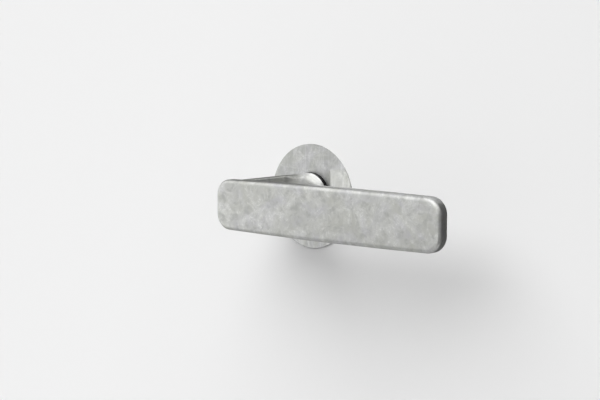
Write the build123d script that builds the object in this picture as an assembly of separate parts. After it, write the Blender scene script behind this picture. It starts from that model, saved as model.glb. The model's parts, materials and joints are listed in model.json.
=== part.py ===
# Door lever handle on a thin round rose, with its base plate and return spring sunk into the door.
# Millimetres. X runs right along the door, Y into the door, Z up. The door face is y = 0.
import os
from math import asin, cos, degrees, pi, radians, sin, sqrt

from build123d import *

os.makedirs("parts", exist_ok=True)

# Rose
rose_diameter = 52.0
rose_thickness = 0.6
cover_wall = 0.5
rim_rounding = 0.12
rim_width = 1.5  # part of the cover that rests on the door
skirt_wall = 0.9
cover_play = 0.1  # between the base plate's edge and the cover's skirt
hole_play = 0.25  # between the black collar and the cover's hole
base_thickness = 1.6

# Grip
grip_height = 24.8  # at the middle of the grip
grip_bow = 0.65  # the long edges fall by this much at the ends
grip_thickness = 6.8
grip_reach = 116.8  # spindle axis to the free end
grip_heel = 12.0  # spindle axis to the near end
projection = 55.9  # door face to the front of the grip
corner_radius = 7.5
edge_rounding = 2.0

# Neck
neck_radius = 11.8
shadow_gap = 2.2  # neck's end to the face of the rose, where the black collar shows
wall_offset = 1.5  # flat inner wall of the neck, past the spindle axis
wall_corner = 0.7  # soft edge where the wall meets the round side
round_length = 2.6  # neck left fully round at its end
blend_length = 17.5  # from round to half-round
blend_steps = 6
crest_turn = 12.0  # on the round end, the crest's arc stops at this angle from the top
side_turn = 60.0  # and the wall starts at this one
root_radius = 4.0  # flare of the inner wall into the grip
root_sink = 0.25  # overlap of the flare with the wall, so that they join

# Bearing
journal_radius = 8.0
running_gap = 0.05
moving_gap = 0.4  # between turning and fixed pieces that carry no load
bush_wall = 1.5
boss_wall = 1.6
boss_depth = 4.0

# Spring cup
cup_radius = 13.0
cup_wall = 1.7
cup_depth = 14.6
floor_sink = 0.4  # the cup's floor lies this far under the flange's back face
stop_angle = 24.0
stop_reach = 2.4  # how far each end stop stands in from the cup's wall
turn_angle = 45.0
stop_slack = 1.6  # degrees left at each end of the turn
driver_thickness = 3.0
slide_thickness = 0.5
washer_thickness = 0.6
washer_rim = 2.6
washer_gap = 0.1
ring_thickness = 1.0
ring_rim = 1.6
ring_opening = 40.0  # gap between the ring's ends, in degrees
ear_radius = 1.2
ear_hole = 0.6
groove_depth = 0.6
shank_lip = 1.4  # shank left behind the ring
key_height = 6.5  # half height of the shank across its key flats
lid_thickness = 1.0
lid_gap = 0.9  # lid's hole to the spindle's corners

# Return spring
wire_width = 1.2
coil_radius = 11.6
coil_turns = 3.75
coil_gap = 0.1  # end coils to the faces that they turn against
tang_width = 1.08
tang_length = 1.44
tang_gap = 0.54  # around a tang in its hole
tang_end = 0.3  # a tang stops this far short of the far face of its hole

# Spindle and fixings
spindle_width = 8.0
spindle_out = 54.0
spindle_grip = 14.0
spindle_chamfer = 0.6
socket_gap = 0.05
socket_relief = 0.3  # clear length beyond the spindle's end
grub_radius = 3.0
grub_y = -9.3
grub_recess = 0.9  # screw's face under the neck's surface
grub_chamfer = 0.4
grub_key_depth = 3.0
fixing_spacing = 38.0
bolt_radius = 2.0
bolt_waist = 1.75  # plain shank inside the lug
bolt_out = 46.0
bolt_play = 0.15
bolt_tip = 0.6
bolt_step = 0.2  # length of the tapers beside the waist
head_radius = 3.75
head_height = 2.0
cross_length = 4.4
cross_width = 0.9
cross_depth = 1.5
lug_radius = 3.75
lug_length = 7.0
clip_wire = 0.7
clip_angle = 100.0
groove_offset = 0.5  # the clips' groove from the flange's front

# Cutters run past the faces by this much, and joined solids overlap a little
overrun = 1.0
overlap = 0.1

# Sizes that follow
cover_radius = rose_diameter / 2
skirt_radius = cover_radius - rim_width
cover_inside = skirt_radius - skirt_wall
base_radius = cover_inside - cover_play
base_front = cover_wall - rose_thickness
base_back = base_front + base_thickness
collar_radius = neck_radius
cover_hole = collar_radius + hole_play
neck_end = -(rose_thickness + shadow_gap)
collar_front = neck_end + running_gap
blend_start = neck_end - round_length
blend_end = blend_start - blend_length
grip_front = -projection
grip_back = grip_front + grip_thickness
bush_radius = journal_radius + running_gap + bush_wall
boss_radius = bush_radius + boss_wall
boss_end = base_back + boss_depth
cup_floor = base_back - floor_sink
cup_end = base_back + cup_depth
lug_end = base_back + lug_length
head_end = base_front + head_height
driver_front = boss_end + slide_thickness + running_gap
driver_back = driver_front + driver_thickness
washer_back = driver_back + washer_thickness
ring_back = washer_back + ring_thickness
shank_end = ring_back + shank_lip
lid_front = cup_end - lid_thickness
groove_radius = journal_radius - groove_depth
slide_radius = cup_radius - stop_reach - moving_gap
tang_hole = tang_width / 2 + tang_gap
coil_start = driver_back + wire_width / 2 + coil_gap
coil_rise = lid_front - wire_width / 2 - coil_gap - coil_start
coil_end_angle = -360 * (coil_turns % 1)


def rod(radius, y0, y1):
    """A cylinder about the Y axis from y0 to y1."""
    body = Cylinder(radius, y1 - y0, align=(Align.CENTER, Align.CENTER, Align.MIN))
    return Pos(0, y0, 0) * Rot(-90, 0, 0) * body


def block(x0, x1, y0, y1, z0, z1):
    """A box between two corners."""
    body = Box(x1 - x0, y1 - y0, z1 - z0, align=(Align.MIN, Align.MIN, Align.MIN))
    return Pos(x0, y0, z0) * body


def at_angle(radius, angle, y):
    """A point at an angle from +X towards +Z, seen from the front."""
    return Vector(radius * cos(radians(angle)), y, radius * sin(radians(angle)))


def sector(inner, outer, start, end, y0, y1):
    """A ring segment about the Y axis between two angles."""
    middle = (start + end) / 2
    edges = [
        ThreePointArc(at_angle(outer, start, y0), at_angle(outer, middle, y0), at_angle(outer, end, y0)),
        Line(at_angle(outer, end, y0), at_angle(inner, end, y0)),
        ThreePointArc(at_angle(inner, end, y0), at_angle(inner, middle, y0), at_angle(inner, start, y0)),
        Line(at_angle(inner, start, y0), at_angle(outer, start, y0)),
    ]
    return extrude(Face(Wire(edges)), amount=y1 - y0, dir=(0, 1, 0))


def turned(points):
    """A solid of revolution about Y from (radius, y) points."""
    outline = Wire.make_polygon([(r, y, 0) for r, y in points], close=True)
    return revolve(Face(outline), axis=Axis.Y)


def between(first, last, share):
    """The value a share of the way from first to last."""
    return first + (last - first) * share


def arc_handle(chord, turn):
    """Bezier handle that bends a chord like an arc of that turn, in radians."""
    return chord / (3 * cos(turn / 4) ** 2)


def neck_section(y, flatness):
    """Section of the neck: a half circle on the left, and a right side from round (0) to flat (1)."""
    r = neck_radius
    flat_top = sqrt(r * r - wall_offset * wall_offset)
    flat_crest = asin((wall_offset - wall_corner) / r)
    crest_angle = between(radians(crest_turn), flat_crest, flatness)
    side_angle = between(radians(side_turn), pi / 2, flatness)
    crest = Vector(r * sin(crest_angle), y, r * cos(crest_angle))
    side_x = between(r * sin(radians(side_turn)), wall_offset, flatness)
    side_z = between(r * cos(radians(side_turn)), flat_top - wall_corner, flatness)
    side = Vector(side_x, y, side_z)
    crest_way = Vector(cos(crest_angle), 0, -sin(crest_angle))
    side_way = Vector(cos(side_angle), 0, -sin(side_angle))
    corner_handle = arc_handle((side - crest).length, side_angle - crest_angle)
    side_handle = arc_handle(2 * side_z, pi - 2 * side_angle)
    upper = [side, side - side_way * corner_handle, crest + crest_way * corner_handle, crest]
    lower = [Vector(p.X, p.Y, -p.Z) for p in reversed(upper)]
    wall = [side, side + side_way * side_handle]
    wall = [Vector(p.X, p.Y, -p.Z) for p in wall] + wall[::-1]
    mid_crest = Vector(r * sin(crest_angle / 2), y, r * cos(crest_angle / 2))
    diagonal = r * sqrt(0.5)
    edges = [
        ThreePointArc(crest, mid_crest, (0, y, r)),
        ThreePointArc((0, y, r), (-diagonal, y, diagonal), (-r, y, 0)),
        ThreePointArc((-r, y, 0), (-diagonal, y, -diagonal), (0, y, -r)),
        ThreePointArc((0, y, -r), (mid_crest.X, y, -mid_crest.Z), (crest.X, y, -crest.Z)),
        Bezier(*lower),
        Bezier(*wall),
        Bezier(*upper),
    ]
    return Face(Wire(edges))


# Lever: grip, neck and shank in one casting
grip_middle = (grip_reach - grip_heel) / 2
end_height = grip_height / 2 - grip_bow
outline = [
    ThreePointArc(
        (-grip_heel, grip_back, end_height),
        (grip_middle, grip_back, grip_height / 2),
        (grip_reach, grip_back, end_height),
    ),
    Line((grip_reach, grip_back, end_height), (grip_reach, grip_back, -end_height)),
    ThreePointArc(
        (grip_reach, grip_back, -end_height),
        (grip_middle, grip_back, -grip_height / 2),
        (-grip_heel, grip_back, -end_height),
    ),
    Line((-grip_heel, grip_back, -end_height), (-grip_heel, grip_back, end_height)),
]
grip = extrude(Face(Wire(outline)), amount=grip_thickness, dir=(0, -1, 0))
grip = fillet(grip.edges().filter_by(Axis.Y), corner_radius)
grip = fillet(grip.faces().filter_by(Axis.Y).edges(), edge_rounding)
blend = []
for step in range(blend_steps + 1):
    share = step / blend_steps
    flatness = share * share * (3 - 2 * share)
    blend.append(neck_section(blend_start - blend_length * share, flatness))
neck_root = grip_back - grip_thickness / 2
neck = loft(blend)
neck += extrude(neck_section(blend_end, 1), amount=blend_end - neck_root, dir=(0, -1, 0))
neck += extrude(neck_section(blend_start, 0), amount=round_length, dir=(0, 1, 0))
root_wall = wall_offset - root_sink
root_height = sqrt(neck_radius**2 - wall_offset**2) - wall_corner
root_far = root_wall + root_radius
root_rise = grip_back + root_radius
root_middle = root_radius * (1 - sqrt(0.5))
root_edges = [
    Line((root_wall - overrun, root_rise, -root_height), (root_wall, root_rise, -root_height)),
    ThreePointArc(
        (root_wall, root_rise, -root_height),
        (root_wall + root_middle, grip_back + root_middle, -root_height),
        (root_far, grip_back, -root_height),
    ),
    Line((root_far, grip_back, -root_height), (root_far, neck_root, -root_height)),
    Line((root_far, neck_root, -root_height), (root_wall - overrun, neck_root, -root_height)),
    Line((root_wall - overrun, neck_root, -root_height), (root_wall - overrun, root_rise, -root_height)),
]
neck += extrude(Face(Wire(root_edges)), amount=2 * root_height, dir=(0, 0, 1))
shank = rod(journal_radius, neck_end - overlap, shank_end)
flats = block(-journal_radius, journal_radius, boss_end, shank_end, -key_height, key_height)
flats += rod(journal_radius + overrun, neck_end - overrun, boss_end)
shank &= flats
shank -= rod(journal_radius + overrun, washer_back, ring_back) - rod(groove_radius, washer_back, ring_back)
lever = grip + neck + shank
half_socket = spindle_width / 2 + socket_gap
socket_end = -spindle_grip - socket_relief
lever -= block(-half_socket, half_socket, socket_end, shank_end + overrun, -half_socket, half_socket)
grub_hole = Pos(0, grub_y, 0) * Cylinder(
    grub_radius + socket_gap, grip_height, align=(Align.CENTER, Align.CENTER, Align.MAX)
)
lever -= grub_hole

# Square spindle and the grub screw that clamps it
half = spindle_width / 2
spindle = block(-half, half, -spindle_grip, spindle_out, -half, half)
spindle = chamfer(spindle.faces().filter_by(Axis.Y).edges(), spindle_chamfer)
grub_face = -(neck_radius - grub_recess)
grub_screw = Pos(0, grub_y, -half) * Cylinder(
    grub_radius, -half - grub_face, align=(Align.CENTER, Align.CENTER, Align.MAX)
)
grub_screw = chamfer(grub_screw.edges().group_by(Axis.Z)[0], grub_chamfer)
grub_key = RegularPolygon(grub_radius / 2, 6, major_radius=False)
grub_screw -= Pos(0, grub_y, grub_face) * extrude(grub_key, grub_key_depth)

# Rose cover: a thin disc whose skirt goes round the base plate
cover = rod(cover_radius, -rose_thickness, 0)
cover = fillet(cover.edges().group_by(Axis.Y)[0], rim_rounding)
cover += rod(skirt_radius, -overlap, base_back)
cover -= rod(cover_inside, base_front, base_back + overrun)
cover -= rod(cover_hole, -rose_thickness - overrun, 0)

# Base plate: flange, bearing boss, spring cup with end stops, and bolt lugs
bolt_places = [(fixing_spacing / 2, 0, 0), (-fixing_spacing / 2, 0, 0)]
base = rod(base_radius, base_front, base_back)
groove_front = base_front + groove_offset
groove_back = groove_front + clip_wire
base -= rod(base_radius + overrun, groove_front, groove_back) - rod(base_radius - clip_wire, groove_front, groove_back)
base += rod(cup_radius + cup_wall, base_back - overlap, cup_end)
base -= rod(cup_radius, cup_floor, cup_end)
base -= rod(cup_radius + cup_wall / 2, lid_front, cup_end)
base += rod(boss_radius, cup_floor - overlap, boss_end)
for centre in (90, 270):
    base += sector(
        cup_radius - stop_reach,
        cup_radius + overlap,
        centre - stop_angle / 2,
        centre + stop_angle / 2,
        cup_floor - overlap,
        driver_back,
    )
for place in bolt_places:
    base += Pos(place) * rod(lug_radius, base_back - overlap, lug_end)
    base -= Pos(place) * rod(bolt_radius + bolt_play, base_front - overrun, lug_end + overrun)
    base -= Pos(place) * turned(
        [(0, base_front), (head_radius, base_front), (bolt_radius, head_end), (0, head_end)]
    )
base -= rod(bush_radius, base_front - overrun, boss_end + overrun)

# Two spring clips in the flange's groove, clear of the bolts
cover_clips = []
for centre in (90, 270):
    cover_clips.append(
        sector(
            base_radius - clip_wire,
            cover_inside,
            centre - clip_angle / 2,
            centre + clip_angle / 2,
            groove_front,
            groove_back,
        )
    )

# Fixing bolts, with a plain waist inside the lug
thread_start = lug_end + overlap + bolt_step
bolt = turned(
    [
        (0, base_front),
        (head_radius, base_front),
        (bolt_radius, head_end),
        (bolt_waist, head_end + bolt_step),
        (bolt_waist, thread_start - bolt_step),
        (bolt_radius, thread_start),
        (bolt_radius, bolt_out - bolt_tip),
        (bolt_radius - bolt_tip, bolt_out),
        (0, bolt_out),
    ]
)
cross_end = base_front + cross_depth
for long, wide in ((cross_length / 2, cross_width / 2), (cross_width / 2, cross_length / 2)):
    bolt -= block(-long, long, base_front, cross_end, -wide, wide)
fixing_bolts = [Pos(place) * bolt for place in bolt_places]

# Bearing bush with the black collar that shows between the neck and the rose
bush = rod(collar_radius, collar_front, base_front)
bush += rod(bush_radius, collar_front, boss_end)
bush -= rod(journal_radius + running_gap, collar_front - overrun, boss_end + overrun)

# Spring driver, keyed on the shank's flats
driver = rod(cup_radius - moving_gap, driver_front, driver_back)
driver_cut = (driver_front - overrun, driver_back + overrun)
for centre in (90, 270):
    driver -= sector(
        slide_radius,
        cup_radius + overrun,
        centre - stop_angle / 2 - stop_slack,
        centre + stop_angle / 2 + turn_angle + stop_slack,
        *driver_cut,
    )
key_gap = key_height + socket_gap
key = rod(journal_radius + socket_gap, *driver_cut)
key &= block(-cup_radius, cup_radius, *driver_cut, -key_gap, key_gap)
driver -= key
driver -= Pos(coil_radius, 0, 0) * rod(tang_hole, *driver_cut)

# Slide washer in front of the driver, thrust washer and retaining ring behind it
washer_hole = journal_radius + washer_gap
slide_back = boss_end + slide_thickness
slide_washer = rod(slide_radius, boss_end, slide_back) - rod(washer_hole, boss_end, slide_back)
washer = rod(journal_radius + washer_rim, driver_back, washer_back) - rod(washer_hole, driver_back, washer_back)
ring_start = ring_opening / 2 - 90
ring_stop = 270 - ring_opening / 2
ring = sector(groove_radius, journal_radius + ring_rim, ring_start, ring_stop, washer_back, ring_back)
ear_distance = journal_radius + ring_rim - ear_radius / 4
ear_turn = degrees(ear_radius / 2 / ear_distance)
for angle in (ring_start + ear_turn, ring_stop - ear_turn):
    ear = at_angle(ear_distance, angle, 0)
    ring += Pos(ear) * rod(ear_radius, washer_back, ring_back)
    ring -= Pos(ear) * rod(ear_hole, washer_back - overrun, ring_back + overrun)

# Lid of the cup
lid_cut = (lid_front - overrun, cup_end + overrun)
lid = rod(cup_radius + cup_wall / 2, lid_front, cup_end)
lid -= rod(spindle_width * sqrt(0.5) + lid_gap, *lid_cut)
lid -= Pos(at_angle(coil_radius, coil_end_angle, 0)) * rod(tang_hole, *lid_cut)

# Return spring of square wire, with an axial tang at each end
coil = Pos(0, coil_start, 0) * Rot(-90, 0, 0) * Helix(coil_rise / coil_turns, coil_rise, coil_radius)
coil_plane = Plane(origin=coil @ 0, x_dir=(1, 0, 0), z_dir=coil % 0)
spring = sweep(coil_plane * Rectangle(wire_width, wire_width), path=coil, is_frenet=True)
tang_side = tang_width / 2
wire_half = wire_width / 2
front_tang = block(
    coil_radius - tang_side,
    coil_radius + tang_side,
    driver_front + tang_end,
    coil_start + wire_half - overlap,
    -wire_half,
    tang_length - wire_half,
)
back_tang = block(
    coil_radius - tang_side,
    coil_radius + tang_side,
    coil_start + coil_rise - wire_half + overlap,
    cup_end - tang_end,
    wire_half - tang_length,
    wire_half,
)
spring += front_tang
spring += Rot(0, -coil_end_angle, 0) * back_tang

pieces = {
    "lever": lever,
    "spindle": spindle,
    "grub_screw": grub_screw,
    "rose_cover": cover,
    "base_plate": base,
    "cover_clips": Compound(children=cover_clips),
    "fixing_bolts": Compound(children=fixing_bolts),
    "bearing_bush": bush,
    "spring_driver": driver,
    "slide_washer": slide_washer,
    "thrust_washer": washer,
    "retaining_ring": ring,
    "cup_lid": lid,
    "return_spring": spring,
}
for name, shape in pieces.items():
    export_step(shape, f"parts/{name}.step")
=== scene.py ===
import bpy
import bmesh
import json
import math
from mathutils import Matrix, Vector


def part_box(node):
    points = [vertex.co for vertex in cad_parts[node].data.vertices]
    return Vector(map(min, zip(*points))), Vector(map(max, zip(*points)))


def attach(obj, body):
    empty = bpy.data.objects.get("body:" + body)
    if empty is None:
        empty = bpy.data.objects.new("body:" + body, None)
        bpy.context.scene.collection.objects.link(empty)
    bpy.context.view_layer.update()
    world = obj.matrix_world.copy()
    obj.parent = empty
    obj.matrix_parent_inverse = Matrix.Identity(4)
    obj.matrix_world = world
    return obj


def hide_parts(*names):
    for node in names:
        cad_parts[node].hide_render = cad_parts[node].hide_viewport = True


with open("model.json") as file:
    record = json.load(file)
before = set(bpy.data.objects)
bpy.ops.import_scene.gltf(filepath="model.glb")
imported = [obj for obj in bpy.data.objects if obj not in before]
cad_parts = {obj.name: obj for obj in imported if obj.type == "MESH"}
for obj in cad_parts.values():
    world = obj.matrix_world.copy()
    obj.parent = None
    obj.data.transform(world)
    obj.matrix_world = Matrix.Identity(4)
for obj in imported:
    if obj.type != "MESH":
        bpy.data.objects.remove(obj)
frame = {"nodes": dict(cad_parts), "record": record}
nodes = frame["nodes"]
scene = bpy.context.scene
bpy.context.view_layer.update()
print("frame loaded:", len(nodes), "nodes")


# small helpers for node trees

def fillSockets(tree, node, links):
    for socket, source in links.items():
        if isinstance(source, bpy.types.NodeSocket):
            tree.links.new(source, node.inputs[socket])
        else:
            node.inputs[socket].default_value = source


def addNode(tree, kind, links=None, **settings):
    node = tree.nodes.new("ShaderNode" + kind)
    for key, value in settings.items():
        setattr(node, key, value)
    fillSockets(tree, node, links or {})
    return node


def placeGroup(tree, group, links):
    node = tree.nodes.new("ShaderNodeGroup")
    node.node_tree = group
    fillSockets(tree, node, links)
    return node.outputs


def startGroup(name, inputs, outputs):
    group = bpy.data.node_groups.new(name, "ShaderNodeTree")
    for side, sockets in (("INPUT", inputs), ("OUTPUT", outputs)):
        for label, kind in sockets.items():
            group.interface.new_socket(label, in_out=side, socket_type="NodeSocket" + kind)
    given = group.nodes.new("NodeGroupInput")
    result = group.nodes.new("NodeGroupOutput")
    return group, given.outputs, result.inputs


def mathNode(tree, operation, *values):
    return addNode(tree, "Math", dict(enumerate(values)), operation=operation).outputs[0]


def spread(tree, value, low, high, outLow=0.0, outHigh=1.0):
    links = {"Value": value, "From Min": low, "From Max": high, "To Min": outLow, "To Max": outHigh}
    return addNode(tree, "MapRange", links, clamp=True).outputs["Result"]


def mixColor(tree, factor, first, second):
    node = addNode(tree, "Mix", {0: factor, 6: first, 7: second}, data_type="RGBA")
    return node.outputs[2]


def noiseOf(tree, place, scale, shape):
    links = {"Vector": place, "Scale": scale, "Detail": shape["detail"], "Roughness": shape["roughness"],
             "Distortion": shape["distortion"]}
    return addNode(tree, "TexNoise", links).outputs["Fac"]


def grey(value):
    return (value, value, value, 1.0)


# cloudy patches of a tumbled casting: warm and cool by turns, dull spots, and pale wisps broken into flecks

mottleValues = {
    "noise": {
        "patch": {"size": "Patch Scale", "times": 1.0, "detail": 6.0, "roughness": 0.68, "distortion": 0.8},
        "tint": {"size": "Patch Scale", "times": 0.4, "detail": 4.0, "roughness": 0.6, "distortion": 1.0},
        "dull": {"size": "Patch Scale", "times": 1.7, "detail": 5.0, "roughness": 0.65, "distortion": 0.5},
        "wisp": {"size": "Patch Scale", "times": 2.2, "detail": 4.0, "roughness": 0.6, "distortion": 1.6},
        "fleck": {"size": "Fleck Scale", "times": 1.0, "detail": 3.0, "roughness": 0.7, "distortion": 0.0},
    },
    "warm": (0.50, 0.62),  # noise level where a mask starts, and where it is full
    "cool": (0.50, 0.38),
    "pale": (0.46, 0.64),
    "dull": (0.50, 0.34),
    "fleck": (0.42, 0.62),
    "wisp": {"middle": 0.5, "fade": (0.06, 0.0)},  # a wisp runs where its noise is close to the middle
    "evenPale": 0.3,  # share of the pale that isn't broken into wisps
    "fleckHeight": 0.45,
}


def buildCastMottle(values):
    inputs = {"Vector": "Vector", "Patch Scale": "Float", "Fleck Scale": "Float", "Contrast": "Float",
              "Base": "Color", "Warm": "Color", "Cool": "Color", "Pale": "Color", "Dull": "Color"}
    outputs = {"Color": "Color", "Patch": "Float", "Height": "Float"}
    group, given, result = startGroup("castMottle", inputs, outputs)
    noise = {}
    for label, shape in values["noise"].items():
        scale = mathNode(group, "MULTIPLY", given[shape["size"]], shape["times"])
        noise[label] = noiseOf(group, given["Vector"], scale, shape)
    warmMask = spread(group, noise["tint"], *values["warm"])
    coolMask = spread(group, noise["tint"], *values["cool"])
    paleMask = spread(group, noise["patch"], *values["pale"])
    dullMask = spread(group, noise["dull"], *values["dull"])
    fleckMask = spread(group, noise["fleck"], *values["fleck"])
    wispOff = mathNode(group, "SUBTRACT", noise["wisp"], values["wisp"]["middle"])
    wispOff = mathNode(group, "ABSOLUTE", wispOff)
    wispMask = mathNode(group, "MULTIPLY", spread(group, wispOff, *values["wisp"]["fade"]), fleckMask)
    broken = mathNode(group, "MULTIPLY_ADD", wispMask, 1 - values["evenPale"], values["evenPale"])
    paleMask = mathNode(group, "MULTIPLY", broken, paleMask)
    color = given["Base"]
    for tone, mask in (("Warm", warmMask), ("Cool", coolMask), ("Dull", dullMask), ("Pale", paleMask)):
        color = mixColor(group, mathNode(group, "MULTIPLY", mask, given["Contrast"]), color, given[tone])
    height = mathNode(group, "MULTIPLY_ADD", noise["fleck"], values["fleckHeight"], noise["patch"])
    group.links.new(color, result["Color"])
    group.links.new(noise["patch"], result["Patch"])
    group.links.new(height, result["Height"])
    return group


# long thin marks: the scale vector is small along the stroke and large across it

streakValues = {"detail": 4.0, "roughness": 0.65, "distortion": 0.0, "softness": 0.18}


def buildFineStreaks(values):
    inputs = {"Vector": "Vector", "Scale": "Vector", "Threshold": "Float"}
    group, given, result = startGroup("fineStreaks", inputs, {"Streak": "Float", "Height": "Float"})
    stretched = addNode(group, "VectorMath", {0: given["Vector"], 1: given["Scale"]}, operation="MULTIPLY")
    noise = noiseOf(group, stretched.outputs[0], 1.0, values)
    top = mathNode(group, "ADD", given["Threshold"], values["softness"])
    group.links.new(spread(group, noise, given["Threshold"], top), result["Streak"])
    group.links.new(noise, result["Height"])
    return group


# mask of the corners that hands and tools rub bright

rubValues = {
    "samples": 4,
    "corner": (0.99, 0.88),  # how far the rounded normal leans from the true one
    "chips": {"detail": 3.0, "roughness": 0.6, "distortion": 0.0, "fade": (0.34, 0.56)},
}


def buildRubbedEdges(values):
    inputs = {"Vector": "Vector", "Radius": "Float", "Break Up": "Float"}
    group, given, result = startGroup("rubbedEdges", inputs, {"Edge": "Float"})
    rounded = addNode(group, "Bevel", {"Radius": given["Radius"]}, samples=values["samples"]).outputs[0]
    flat = addNode(group, "NewGeometry").outputs["Normal"]
    lean = addNode(group, "VectorMath", {0: rounded, 1: flat}, operation="DOT_PRODUCT").outputs["Value"]
    corner = spread(group, lean, *values["corner"])
    noise = noiseOf(group, given["Vector"], given["Break Up"], values["chips"])
    chipped = spread(group, noise, *values["chips"]["fade"])
    group.links.new(mathNode(group, "MULTIPLY", corner, chipped), result["Edge"])
    return group


castMottle = buildCastMottle(mottleValues)
fineStreaks = buildFineStreaks(streakValues)
rubbedEdges = buildRubbedEdges(rubValues)
print("surface effects ready")


# finishes

polish = (0.36, 0.64)  # mottle levels that are roughest and smoothest
castFinish = {
    "base": (0.535, 0.54, 0.522, 1.0),
    "warm": (0.51, 0.515, 0.48, 1.0),
    "cool": (0.52, 0.52, 0.535, 1.0),
    "pale": (0.86, 0.865, 0.85, 1.0),
    "dull": (0.42, 0.425, 0.41, 1.0),
    "patchScale": 150.0,
    "fleckScale": 900.0,
    "contrast": 0.8,
    "roughness": (0.40, 0.54),
    "metallic": 1.0,
    "specular": 0.5,
    "grain": 0.00003,
    "strokes": [],
    "rub": None,
}
coverFinish = dict(
    castFinish,
    base=(0.45, 0.455, 0.44, 1.0),
    patchScale=170.0,
    contrast=0.7,
    roughness=(0.42, 0.55),
    strokes=[
        {
            "scale": (1500.0, 900.0, 60.0), "threshold": 0.50, "share": 0.40,
            "tint": (0.74, 0.75, 0.74, 1.0), "depth": 0.5,
        },
        {
            "scale": (60.0, 900.0, 1500.0), "threshold": 0.52, "share": 0.35,
            "tint": (0.40, 0.41, 0.405, 1.0), "depth": 0.4,
        },
    ],
)
dieCastFinish = {
    "base": (0.44, 0.45, 0.46, 1.0),
    "warm": (0.43, 0.42, 0.40, 1.0),
    "cool": (0.40, 0.42, 0.46, 1.0),
    "pale": (0.54, 0.55, 0.56, 1.0),
    "dull": (0.30, 0.31, 0.32, 1.0),
    "patchScale": 160.0,
    "fleckScale": 1400.0,
    "contrast": 0.7,
    "roughness": (0.46, 0.64),
    "metallic": 1.0,
    "specular": 0.5,
    "grain": 0.00006,
    "strokes": [{
        "scale": (150.0, 40.0, 900.0), "threshold": 0.54, "share": 0.3,
        "tint": (0.52, 0.53, 0.54, 1.0), "depth": 0.3,
    }],
    "rub": {"radius": 0.0005, "breakUp": 700.0, "tint": (0.66, 0.67, 0.68, 1.0)},
}
platedFinish = {
    "base": (0.58, 0.59, 0.61, 1.0),
    "warm": (0.60, 0.58, 0.52, 1.0),
    "cool": (0.53, 0.57, 0.63, 1.0),
    "pale": (0.70, 0.71, 0.72, 1.0),
    "dull": (0.44, 0.45, 0.47, 1.0),
    "patchScale": 190.0,
    "fleckScale": 2200.0,
    "contrast": 0.6,
    "roughness": (0.24, 0.40),
    "metallic": 1.0,
    "specular": 0.5,
    "grain": 0.000015,
    "strokes": [{
        "scale": (2400.0, 45.0, 2400.0), "threshold": 0.50, "share": 0.35,
        "tint": (0.42, 0.43, 0.45, 1.0), "depth": 0.8,
    }],
    "rub": {"radius": 0.0004, "breakUp": 500.0, "tint": (0.78, 0.79, 0.80, 1.0)},
}
springFinish = {
    "base": (0.27, 0.28, 0.30, 1.0),
    "warm": (0.30, 0.26, 0.20, 1.0),
    "cool": (0.22, 0.25, 0.31, 1.0),
    "pale": (0.42, 0.43, 0.44, 1.0),
    "dull": (0.15, 0.15, 0.16, 1.0),
    "patchScale": 260.0,
    "fleckScale": 3000.0,
    "contrast": 0.7,
    "roughness": (0.22, 0.42),
    "metallic": 1.0,
    "specular": 0.5,
    "grain": 0.00001,
    "strokes": [{
        "scale": (700.0, 3200.0, 700.0), "threshold": 0.52, "share": 0.4,
        "tint": (0.46, 0.46, 0.47, 1.0), "depth": 0.6,
    }],
    "rub": {"radius": 0.0002, "breakUp": 900.0, "tint": (0.52, 0.52, 0.53, 1.0)},
}
blackenedFinish = {
    "base": (0.055, 0.055, 0.06, 1.0),
    "warm": (0.085, 0.065, 0.055, 1.0),
    "cool": (0.045, 0.05, 0.065, 1.0),
    "pale": (0.12, 0.12, 0.125, 1.0),
    "dull": (0.03, 0.03, 0.032, 1.0),
    "patchScale": 300.0,
    "fleckScale": 2600.0,
    "contrast": 0.8,
    "roughness": (0.34, 0.52),
    "metallic": 1.0,
    "specular": 0.5,
    "grain": 0.000015,
    "strokes": [],
    "rub": {"radius": 0.0003, "breakUp": 1100.0, "tint": (0.36, 0.36, 0.37, 1.0)},
}
polymerFinish = {
    "base": (0.009, 0.009, 0.0093, 1.0),
    "warm": (0.010, 0.0095, 0.009, 1.0),
    "cool": (0.0085, 0.009, 0.010, 1.0),
    "pale": (0.016, 0.016, 0.016, 1.0),
    "dull": (0.006, 0.006, 0.006, 1.0),
    "patchScale": 240.0,
    "fleckScale": 5200.0,
    "contrast": 0.8,
    "roughness": (0.44, 0.62),
    "metallic": 0.0,
    "specular": 0.05,
    "grain": 0.00003,
    "strokes": [{
        "scale": (300.0, 2500.0, 2500.0), "threshold": 0.58, "share": 0.3,
        "tint": (0.035, 0.035, 0.035, 1.0), "depth": 0.3,
    }],
    "rub": {"radius": 0.0002, "breakUp": 1500.0, "tint": (0.05, 0.05, 0.05, 1.0)},
}


def startMaterial(name):
    material = bpy.data.materials.new(name)
    material.use_nodes = True
    tree = material.node_tree
    shader = tree.nodes["Principled BSDF"]
    place = addNode(tree, "TexCoord").outputs["Object"]
    return material, tree, shader, place


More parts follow.
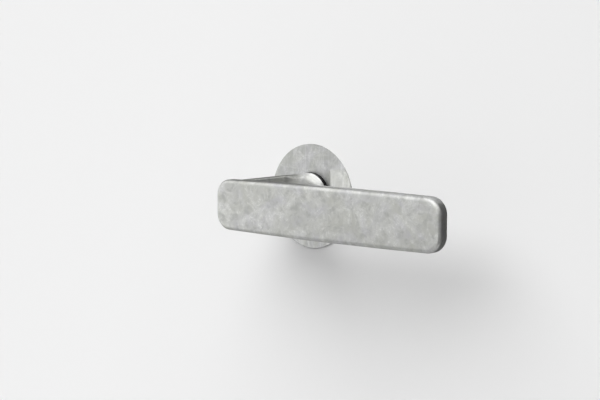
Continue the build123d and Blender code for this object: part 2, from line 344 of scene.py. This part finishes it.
def makeFinish(name, values):
    material, tree, shader, place = startMaterial(name)
    tones = {label.capitalize(): values[label] for label in ("base", "warm", "cool", "pale", "dull")}
    links = {"Vector": place, "Patch Scale": values["patchScale"], "Fleck Scale": values["fleckScale"],
             "Contrast": values["contrast"], **tones}
    mottle = placeGroup(tree, castMottle, links)
    color, height = mottle["Color"], mottle["Height"]
    for stroke in values["strokes"]:
        links = {"Vector": place, "Scale": stroke["scale"], "Threshold": stroke["threshold"]}
        marks = placeGroup(tree, fineStreaks, links)
        share = mathNode(tree, "MULTIPLY", marks["Streak"], stroke["share"])
        color = mixColor(tree, share, color, stroke["tint"])
        height = mathNode(tree, "MULTIPLY_ADD", marks["Height"], stroke["depth"], height)
    rub = values["rub"]
    if rub:
        links = {"Vector": place, "Radius": rub["radius"], "Break Up": rub["breakUp"]}
        worn = placeGroup(tree, rubbedEdges, links)
        color = mixColor(tree, worn["Edge"], color, rub["tint"])
    smooth, rough = values["roughness"]
    tree.links.new(color, shader.inputs["Base Color"])
    tree.links.new(spread(tree, mottle["Patch"], *polish, rough, smooth), shader.inputs["Roughness"])
    shader.inputs["Metallic"].default_value = values["metallic"]
    shader.inputs["Specular IOR Level"].default_value = values["specular"]
    bump = addNode(tree, "Bump", {"Height": height, "Distance": values["grain"]})
    tree.links.new(bump.outputs["Normal"], shader.inputs["Normal"])
    return material


slotMaterials = {
    "cast_metal": makeFinish("castMetal", castFinish),
    "cover_metal": makeFinish("coverMetal", coverFinish),
    "die_cast": makeFinish("dieCast", dieCastFinish),
    "steel": makeFinish("platedSteel", platedFinish),
    "spring_steel": makeFinish("springSteel", springFinish),
    "dark_steel": makeFinish("blackenedSteel", blackenedFinish),
    "black_polymer": makeFinish("blackPolymer", polymerFinish),
}
for entry in frame["record"]["subparts"]:
    coat = nodes[entry["node"]].data.materials
    coat.clear()
    coat.append(slotMaterials[entry["material_slot"]])
print("finishes on", len(nodes), "nodes")


# fixing bolts with a cut thread in place of their plain shanks

boltValues = {
    "centres": (-0.019, 0.019),
    "cut": 0.0089,  # the heads and waists up to here are kept as they are
    "overlap": 0.0001,
    "pitch": 0.0007,
    "crest": 0.0020,
    "root": 0.00158,
    "flank": (0.12, 0.82),  # share of the tooth's rise between the root's and the crest's flats
    "tip": 0.0006,
    "stepsPerTurn": 10,
    "segments": 36,
    "sharp": 50.0,
}


def threadRadius(values, along, turn, start, end):
    phase = (along / values["pitch"] - turn / (2 * math.pi)) % 1.0
    low, high = values["flank"]
    rise = min(max((1 - abs(2 * phase - 1) - low) / (high - low), 0.0), 1.0)
    cutIn = min((along - start) / values["pitch"], 1.0)  # the groove runs in over its first turn
    radius = values["crest"] - (values["crest"] - values["root"]) * (1 - rise) * cutIn
    return min(radius, values["crest"] - values["tip"] + end - along)


def addThread(mesh, values, centre, start, end):
    steps = math.ceil((end - start) / values["pitch"] * values["stepsPerTurn"])
    rings = []
    for step in range(steps + 1):
        along = start + (end - start) * step / steps
        ring = []
        for segment in range(values["segments"]):
            turn = 2 * math.pi * segment / values["segments"]
            radius = threadRadius(values, along, turn, start, end)
            ring.append(mesh.verts.new((centre + radius * math.sin(turn), along, radius * math.cos(turn))))
        rings.append(ring)
    for front, back in zip(rings, rings[1:]):
        for segment in range(values["segments"]):
            following = (segment + 1) % values["segments"]
            mesh.faces.new((front[segment], back[segment], back[following], front[following]))
    mesh.faces.new(rings[0])
    mesh.faces.new(rings[-1][::-1])


def makeBolts(values):
    plain = nodes["fixing_bolts"]
    mesh = bmesh.new()
    mesh.from_mesh(plain.data)
    parts = mesh.verts[:] + mesh.edges[:] + mesh.faces[:]
    plane = {"plane_co": (0, values["cut"], 0), "plane_no": (0, 1, 0)}
    cut = bmesh.ops.bisect_plane(mesh, geom=parts, clear_outer=True, **plane)
    rim = [part for part in cut["geom_cut"] if isinstance(part, bmesh.types.BMEdge)]
    bmesh.ops.holes_fill(mesh, edges=rim, sides=0)
    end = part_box("fixing_bolts")[1][1]
    for centre in values["centres"]:
        addThread(mesh, values, centre, values["cut"] - values["overlap"], end)
    bmesh.ops.recalc_face_normals(mesh, faces=mesh.faces[:])
    data = bpy.data.meshes.new("threadedBolts")
    mesh.to_mesh(data)
    mesh.free()
    for face in data.polygons:
        face.use_smooth = True
    data.set_sharp_from_angle(angle=math.radians(values["sharp"]))
    data.materials.clear()
    data.materials.append(slotMaterials["steel"])
    bolts = bpy.data.objects.new("threadedBolts", data)
    scene.collection.objects.link(bolts)
    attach(bolts, "rose")
    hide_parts("fixing_bolts")


makeBolts(boltValues)
print("bolts threaded")


# flat sheets of the stage: the wall and the lighting cards

def addSheet(name, corners, material):
    mesh = bpy.data.meshes.new(name)
    mesh.from_pydata(corners, [], [tuple(range(len(corners)))])
    mesh.materials.append(material)
    sheet = bpy.data.objects.new(name, mesh)
    scene.collection.objects.link(sheet)
    return sheet


def clearWhere(tree, mask, surface):
    clear = addNode(tree, "BsdfTransparent").outputs[0]
    cut = addNode(tree, "MixShader", {0: mask, 1: surface, 2: clear})
    tree.links.new(cut.outputs[0], tree.nodes["Material Output"].inputs["Surface"])


# the wall that carries the handle, its colour darkened towards the right and the bottom as painted light
# falloff

wallValues = {
    "left": -0.40,
    "right": 0.24,
    "bottom": -0.30,
    "top": 0.26,
    "pale": (0.90, 0.90, 0.90, 1.0),
    # painted shade: the wall's colour fades from pale to a darker tone towards the right and the bottom, in
    # place of the lamp's falloff
    "paintedFalloffTone": (0.845, 0.845, 0.845, 1.0),
    "paintedFalloff": {"along": (0.9, 0.0, -0.44), "fade": (-0.10, 0.20)},
    "roughness": 0.9,
    "specular": 0.0,
}


def makeWall(values):
    material, tree, shader, place = startMaterial("wallPaint")
    # painted shade: darker wall colour towards the right and the bottom, standing in for light falloff
    along = addNode(tree, "VectorMath", {0: place, 1: values["paintedFalloff"]["along"]}, operation="DOT_PRODUCT")
    share = spread(tree, along.outputs["Value"], *values["paintedFalloff"]["fade"])
    tree.links.new(mixColor(tree, share, values["pale"], values["paintedFalloffTone"]), shader.inputs["Base Color"])
    shader.inputs["Roughness"].default_value = values["roughness"]
    shader.inputs["Specular IOR Level"].default_value = values["specular"]
    behind = addNode(tree, "NewGeometry").outputs["Backfacing"]
    seen = addNode(tree, "LightPath").outputs["Is Camera Ray"]
    fromBehind = mathNode(tree, "MULTIPLY", behind, seen)
    clearWhere(tree, fromBehind, shader.outputs[0])  # a camera behind the wall sees through it
    corners = [(values["left"], 0, values["bottom"]), (values["right"], 0, values["bottom"]),
               (values["right"], 0, values["top"]), (values["left"], 0, values["top"])]
    wall = addSheet("wall", corners, material)
    wall.visible_glossy = False  # metal sees the pale room and the cards in its place


makeWall(wallValues)
print("wall up")


# a pale room: metal and camera see one tone of it, and other surfaces are lit by a dimmer one

studio = {"pale": 0.865, "fill": 0.34}


def makeStudio(values):
    world = bpy.data.worlds.new("studio")
    scene.world = world
    world.use_nodes = True
    tree = world.node_tree
    light = addNode(tree, "LightPath").outputs
    seen = mathNode(tree, "MAXIMUM", light["Is Camera Ray"], light["Is Glossy Ray"])
    seen = mathNode(tree, "MAXIMUM", seen, light["Is Transmission Ray"])
    tone = mixColor(tree, seen, grey(values["fill"]), grey(values["pale"]))
    tree.links.new(tone, tree.nodes["Background"].inputs["Color"])


makeStudio(studio)


# soft suns: the key casts the wall's shadow, glint and crown only show in metal, and rear lights the back

lamps = {
    "key": {
        "from": (0.02, -0.62, 0.80), "strength": 3.3, "softness": 66.0,
        "diffuse": True, "glossy": False,
    },
    "glint": {
        "from": (0.02, -0.66, 0.75), "strength": 0.85, "softness": 64.0,
        "diffuse": False, "glossy": True,
    },
    "crown": {
        "from": (-0.69, -0.365, 0.626), "strength": 0.25, "softness": 54.0,
        "diffuse": False, "glossy": True,
    },
    "rear": {
        "from": (-0.35, 0.70, 0.62), "strength": 1.4, "softness": 60.0,
        "diffuse": True, "glossy": True,
    },
}


def addSun(name, values):
    sun = bpy.data.lights.new(name, "SUN")
    sun.energy = values["strength"]
    sun.angle = math.radians(values["softness"])
    lamp = bpy.data.objects.new(name, sun)
    lamp.rotation_mode = "QUATERNION"
    lamp.rotation_quaternion = Vector(values["from"]).to_track_quat("Z", "Y")
    lamp.visible_diffuse = values["diffuse"]
    lamp.visible_glossy = values["glossy"]
    scene.collection.objects.link(lamp)


for lampName, lampValues in lamps.items():
    addSun(lampName, lampValues)
print("room and lamps set")


# lighting cards, dark flags and bright glows, that show only in reflections and only from their front;
# a tone with an edgeTone fades to it up the card, over the heights in fade

cards = {
    "wallFlag": {
        "centre": (0.05, 0.001, 0.135), "width": 1.3, "height": 0.43, "facing": (0, -1, 0),
        "tone": 0.08, "edgeTone": 0.60, "fade": (-0.085, 0.215),
    },
    "lowFlag": {
        "centre": (0.05, 0.001, -0.33), "width": 1.3, "height": 0.50, "facing": (0, -1, 0),
        "tone": 0.55, "edgeTone": 0.45, "fade": (0.10, 0.25),
    },
    "floorFlag": {
        "centre": (-0.15, -0.12, -0.26), "width": 0.9, "height": 0.5, "facing": (0, 0, 1),
        "tone": 0.62, "edgeTone": 0.66, "fade": (0.10, 0.25),
    },
    "rightFlag": {
        "centre": (0.788, -0.139, -0.10), "width": 1.5, "height": 1.5, "facing": (-0.985, 0.174, 0),
        "tone": 0.18, "edgeTone": 1.0, "fade": (0.0, 0.55),
    },
    "leftCard": {
        "centre": (-0.788, -0.139, -0.08), "width": 0.8, "height": 0.56, "facing": (0.985, 0.174, 0),
        "tone": 1.45,
    },
    "lapCard": {
        "centre": (0.020, -0.155, -0.17), "width": 0.16, "height": 0.31, "facing": (0, 1, 0),
        "tone": 0.46, "edgeTone": 0.80, "fade": (0.10, 0.155),
    },
    "browCard": {
        "centre": (-0.01, -0.155, 0.0425), "width": 0.14, "height": 0.055, "facing": (0, 1, 0),
        "tone": 1.25,
    },
    "roseCard": {
        "centre": (-0.14, -0.155, -0.01), "width": 0.11, "height": 0.14, "facing": (0, 1, 0),
        "tone": 1.45, "edgeTone": 0.45, "fade": (-0.045, 0.045),
    },
    "neckGlow": {
        "centre": (0.0070, -0.0010, 0.021), "width": 0.014, "height": 0.024, "facing": (0, -1, 0),
        "tone": 2.1, "edgeTone": 1.4, "fade": (-0.005, 0.010),
    },
    "crestGlow": {
        "centre": (-0.003, -0.0010, 0.0145), "width": 0.006, "height": 0.005, "facing": (0, -1, 0),
        "tone": 1.1,
    },
    "upperGlow": {
        "centre": (0.070, 0.0005, 0.0785), "width": 0.12, "height": 0.067, "facing": (0, -1, 0),
        "tone": 0.9, "edgeTone": 1.3, "fade": (-0.030, -0.010),
    },
    "sideGlow": {
        "centre": (0.020, 0.0005, 0.020), "width": 0.024, "height": 0.024, "facing": (0, -1, 0),
        "tone": 0.7, "edgeTone": 1.1, "fade": (-0.010, 0.010),
    },
    "backGlow": {
        "centre": (0.062, -0.0485, 0.0), "width": 0.104, "height": 0.022, "facing": (0, 1, 0),
        "tone": 0.7, "edgeTone": 1.0, "fade": (-0.011, 0.011),
    },
    "roseGlow": {
        "centre": (0.0122, -0.0108, 0.003), "width": 0.020, "height": 0.022, "facing": (1, 0, 0),
        "tone": 1.4,
    },
}


def addCard(name, values):
    material, tree, shader, place = startMaterial(name)
    tree.nodes.remove(shader)  # a card only glows
    tone = values["tone"]
    if "edgeTone" in values:
        height = addNode(tree, "SeparateXYZ", {0: place}).outputs["Y"]
        tone = spread(tree, height, *values["fade"], tone, values["edgeTone"])
    glow = addNode(tree, "Emission", {"Strength": tone}).outputs[0]
    behind = addNode(tree, "NewGeometry").outputs["Backfacing"]
    clearWhere(tree, behind, glow)
    half, rise = values["width"] / 2, values["height"] / 2
    corners = [(-half, -rise, 0), (half, -rise, 0), (half, rise, 0), (-half, rise, 0)]
    flag = addSheet(name, corners, material)
    flag.location = values["centre"]
    flag.rotation_mode = "QUATERNION"
    flag.rotation_quaternion = Vector(values["facing"]).to_track_quat("Z", "Y")
    flag.visible_camera = False
    flag.visible_diffuse = False
    flag.visible_shadow = False


for cardName, cardValues in cards.items():
    addCard(cardName, cardValues)
print("lighting cards set:", len(cards))


# camera from the picture's own viewpoint

viewpoint = {
    "aim": (0.01002, -0.0206, 0.00048),
    "distance": 0.65047,
    "yaw": 41.10,
    "pitch": 6.35,
    "lens": 81.0,
    "sensor": 36.0,
    "clipStart": 0.01,
}


def addCamera(values):
    data = bpy.data.cameras.new("viewCamera")
    data.lens = values["lens"]
    data.sensor_width = values["sensor"]
    data.clip_start = values["clipStart"]
    camera = bpy.data.objects.new("viewCamera", data)
    yaw, pitch = math.radians(values["yaw"]), math.radians(values["pitch"])
    back = Vector((math.sin(yaw) * math.cos(pitch), -math.cos(yaw) * math.cos(pitch), math.sin(pitch)))
    camera.location = Vector(values["aim"]) + back * values["distance"]
    camera.rotation_mode = "QUATERNION"
    camera.rotation_quaternion = (-back).to_track_quat("-Z", "Y")
    scene.collection.objects.link(camera)
    scene.camera = camera


addCamera(viewpoint)
scene.view_settings.view_transform = "Standard"
print("camera set")
